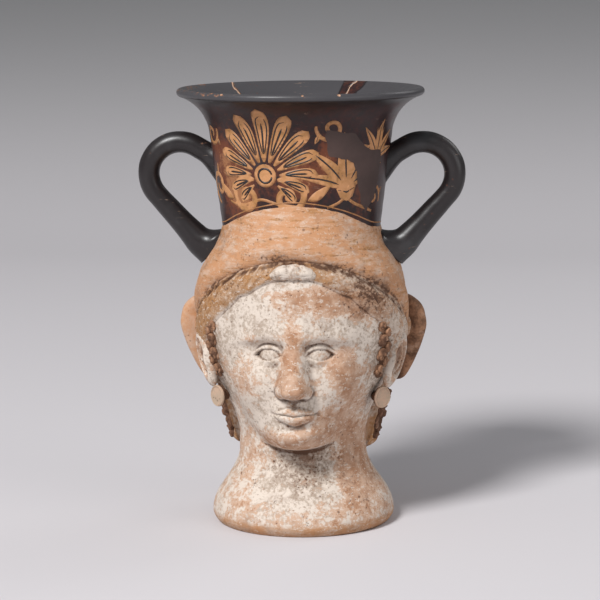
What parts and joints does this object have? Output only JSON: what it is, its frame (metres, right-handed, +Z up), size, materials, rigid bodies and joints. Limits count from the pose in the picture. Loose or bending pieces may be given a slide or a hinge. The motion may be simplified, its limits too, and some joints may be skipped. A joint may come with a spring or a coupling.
{
  "type": "greek head vase",
  "caption": "Two-handled drinking cup of painted fired clay, shaped as a woman's head and a satyr's head back to back under a flaring mouth.",
  "frame": {"origin": "middle of the underside of the foot", "axes": "+Z up along the vessel's axis, -Y towards the woman's face, +X towards the right-hand handle as the woman is viewed"},
  "size_m": [0.1464, 0.11, 0.195],
  "materials": {
    "black_gloss": "satin black gloss with worn clay edges",
    "white_slip_clay": "matt fired clay with patchy white slip",
    "orange_clay": "matt fired clay",
    "beige_clay": "matt fired clay, worn",
    "conservation_plaster": "smooth matt grey-brown retouching"
  },
  "bodies": {
    "root": {"mouth": "black_gloss", "rim_sherd_back": "black_gloss", "plaster_fill": "conservation_plaster", "front_head": "white_slip_clay", "back_head": "white_slip_clay", "floor_disc": "orange_clay", "joint_coil": "orange_clay", "seam_coil_left": "orange_clay", "seam_coil_right": "orange_clay", "handle_left": "black_gloss", "handle_right": "black_gloss", "woman_ear_left": "white_slip_clay", "woman_ear_right": "white_slip_clay", "earring_left": "beige_clay", "earring_right": "beige_clay", "satyr_ear_left": "orange_clay", "satyr_ear_right": "orange_clay", "temple_curls_left": "orange_clay", "temple_curls_right": "orange_clay", "side_curls_left": "orange_clay", "side_curls_right": "orange_clay", "brow_knot": "white_slip_clay", "moustache": "orange_clay"}
  },
  "joints": []
}
